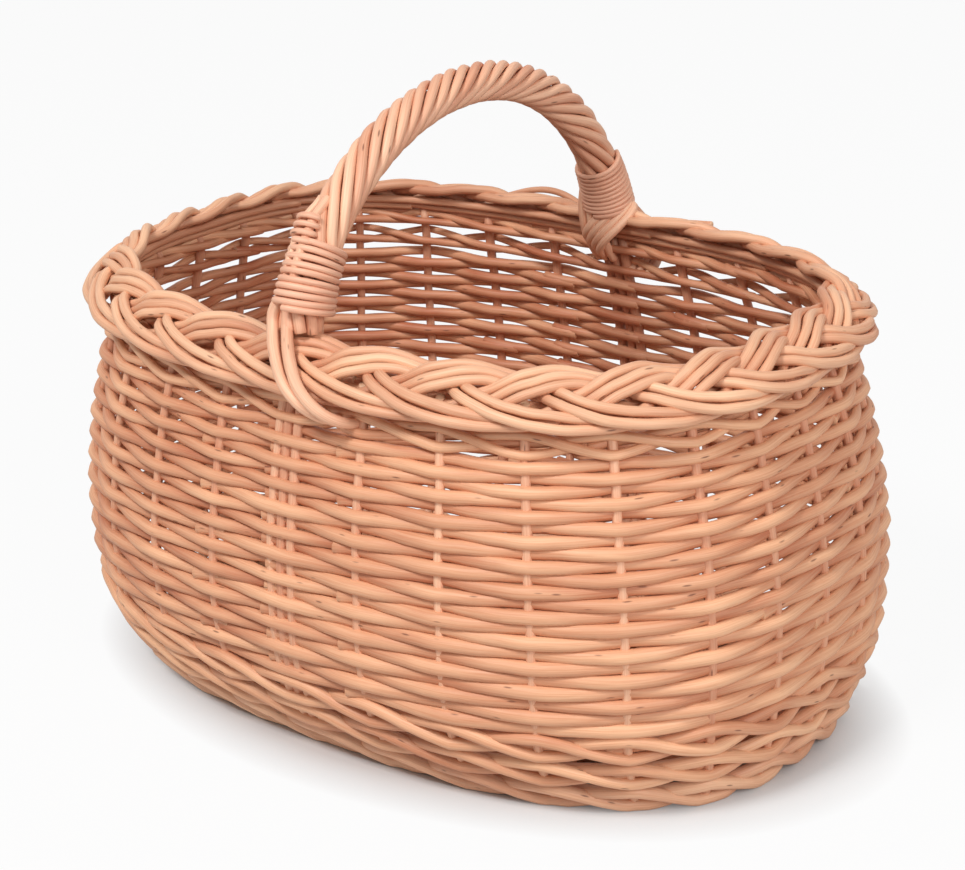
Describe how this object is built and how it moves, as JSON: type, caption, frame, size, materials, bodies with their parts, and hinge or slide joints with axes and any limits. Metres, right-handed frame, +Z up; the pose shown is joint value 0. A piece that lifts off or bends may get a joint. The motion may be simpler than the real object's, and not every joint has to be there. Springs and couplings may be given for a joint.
{
  "type": "market basket",
  "caption": "Oval willow market basket with a randed wall, waled foot and neck, a thick plaited border and a fixed roped bow handle bound at both shoulders.",
  "frame": {"origin": "middle of the basket's footprint, on the surface that it stands on", "axes": "+X along the basket's long side, +Y across it in line with the handle, +Z up"},
  "size_m": [0.441, 0.3156, 0.3228],
  "materials": {
    "stake_willow": "peeled buff willow, satin",
    "weaver_willow": "peeled buff willow, satin",
    "border_willow": "peeled buff willow, satin",
    "base_willow": "peeled buff willow, matt",
    "handle_willow": "peeled buff willow, worn satin",
    "binding_willow": "thin peeled willow, worn satin"
  },
  "bodies": {
    "root": {"handle_liner_front": "stake_willow", "stake_01": "stake_willow", "stake_02": "stake_willow", "stake_03": "stake_willow", "stake_04": "stake_willow", "stake_05": "stake_willow", "stake_06": "stake_willow", "stake_07": "stake_willow", "stake_08": "stake_willow", "stake_09": "stake_willow", "stake_10": "stake_willow", "stake_11": "stake_willow", "stake_12": "stake_willow", "stake_13": "stake_willow", "handle_liner_back": "stake_willow", "stake_15": "stake_willow", "stake_16": "stake_willow", "stake_17": "stake_willow", "stake_18": "stake_willow", "stake_19": "stake_willow", "stake_20": "stake_willow", "stake_21": "stake_willow", "stake_22": "stake_willow", "stake_23": "stake_willow", "stake_24": "stake_willow", "stake_25": "stake_willow", "stake_26": "stake_willow", "stake_27": "stake_willow", "rand_row_01": "weaver_willow", "rand_row_02": "weaver_willow", "rand_row_03": "weaver_willow", "rand_row_04": "weaver_willow", "rand_row_05": "weaver_willow", "rand_row_06": "weaver_willow", "rand_row_07": "weaver_willow", "rand_row_08": "weaver_willow", "rand_row_09": "weaver_willow", "rand_row_10": "weaver_willow", "rand_row_11": "weaver_willow", "rand_row_12": "weaver_willow", "rand_row_13": "weaver_willow", "rand_row_14": "weaver_willow", "rand_row_15": "weaver_willow", "rand_row_16": "weaver_willow", "rand_row_17": "weaver_willow", "rand_row_18": "weaver_willow", "rand_row_19": "weaver_willow", "rand_row_20": "weaver_willow", "rand_row_21": "weaver_willow", "rand_row_22": "weaver_willow", "lower_wale_1": "weaver_willow", "lower_wale_2": "weaver_willow", "upper_wale": "weaver_willow", "foot_border": "border_willow", "border_plait": "border_willow", "base_sticks": "base_willow", "base_weave": "base_willow", "handle_bow": "handle_willow", "binding_front": "binding_willow", "binding_back": "binding_willow"}
  },
  "joints": []
}
